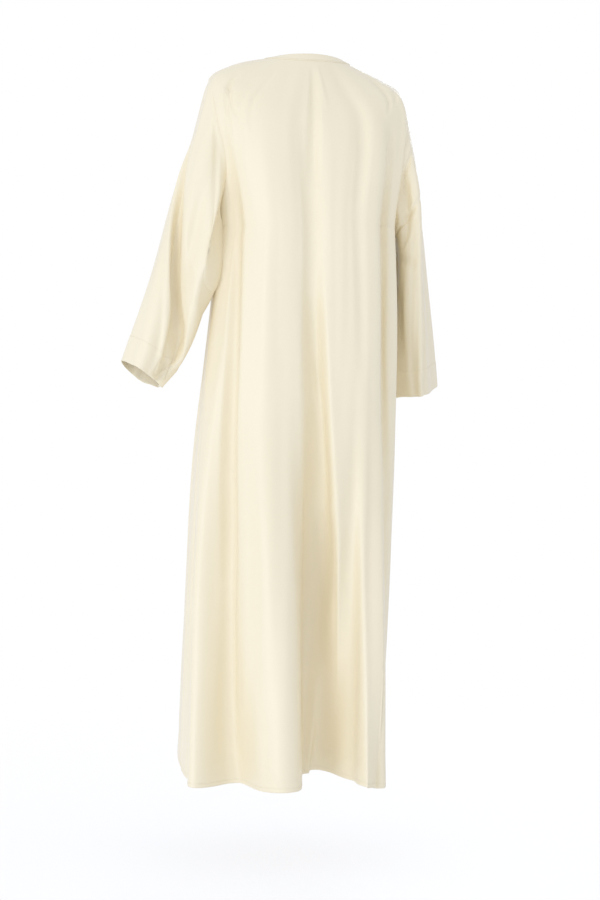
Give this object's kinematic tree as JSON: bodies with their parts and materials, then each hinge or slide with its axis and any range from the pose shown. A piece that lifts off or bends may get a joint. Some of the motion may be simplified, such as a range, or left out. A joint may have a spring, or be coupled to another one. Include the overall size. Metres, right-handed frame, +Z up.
{
  "type": "abaya cloak",
  "caption": "Long open-front cloak for wearing over other clothes, with long straight sleeves, a round neck and a flared hem, in the drape that it has when worn.",
  "frame": {"origin": "middle of the shoulder line, level with the neck ends of the shoulder seams, where the wearer's shoulders hold the cloak", "axes": "+Z up, the front of the cloak faces -Y, the wearer's left sleeve is on +X"},
  "size_m": [0.6485, 0.4565, 1.4113],
  "materials": {
    "cream_crepe": "soft crepe with a low satin sheen"
  },
  "bodies": {
    "root": {"back": "cream_crepe", "front_left": "cream_crepe", "front_right": "cream_crepe", "sleeve_left": "cream_crepe", "sleeve_right": "cream_crepe", "neck_band": "cream_crepe"}
  },
  "joints": []
}
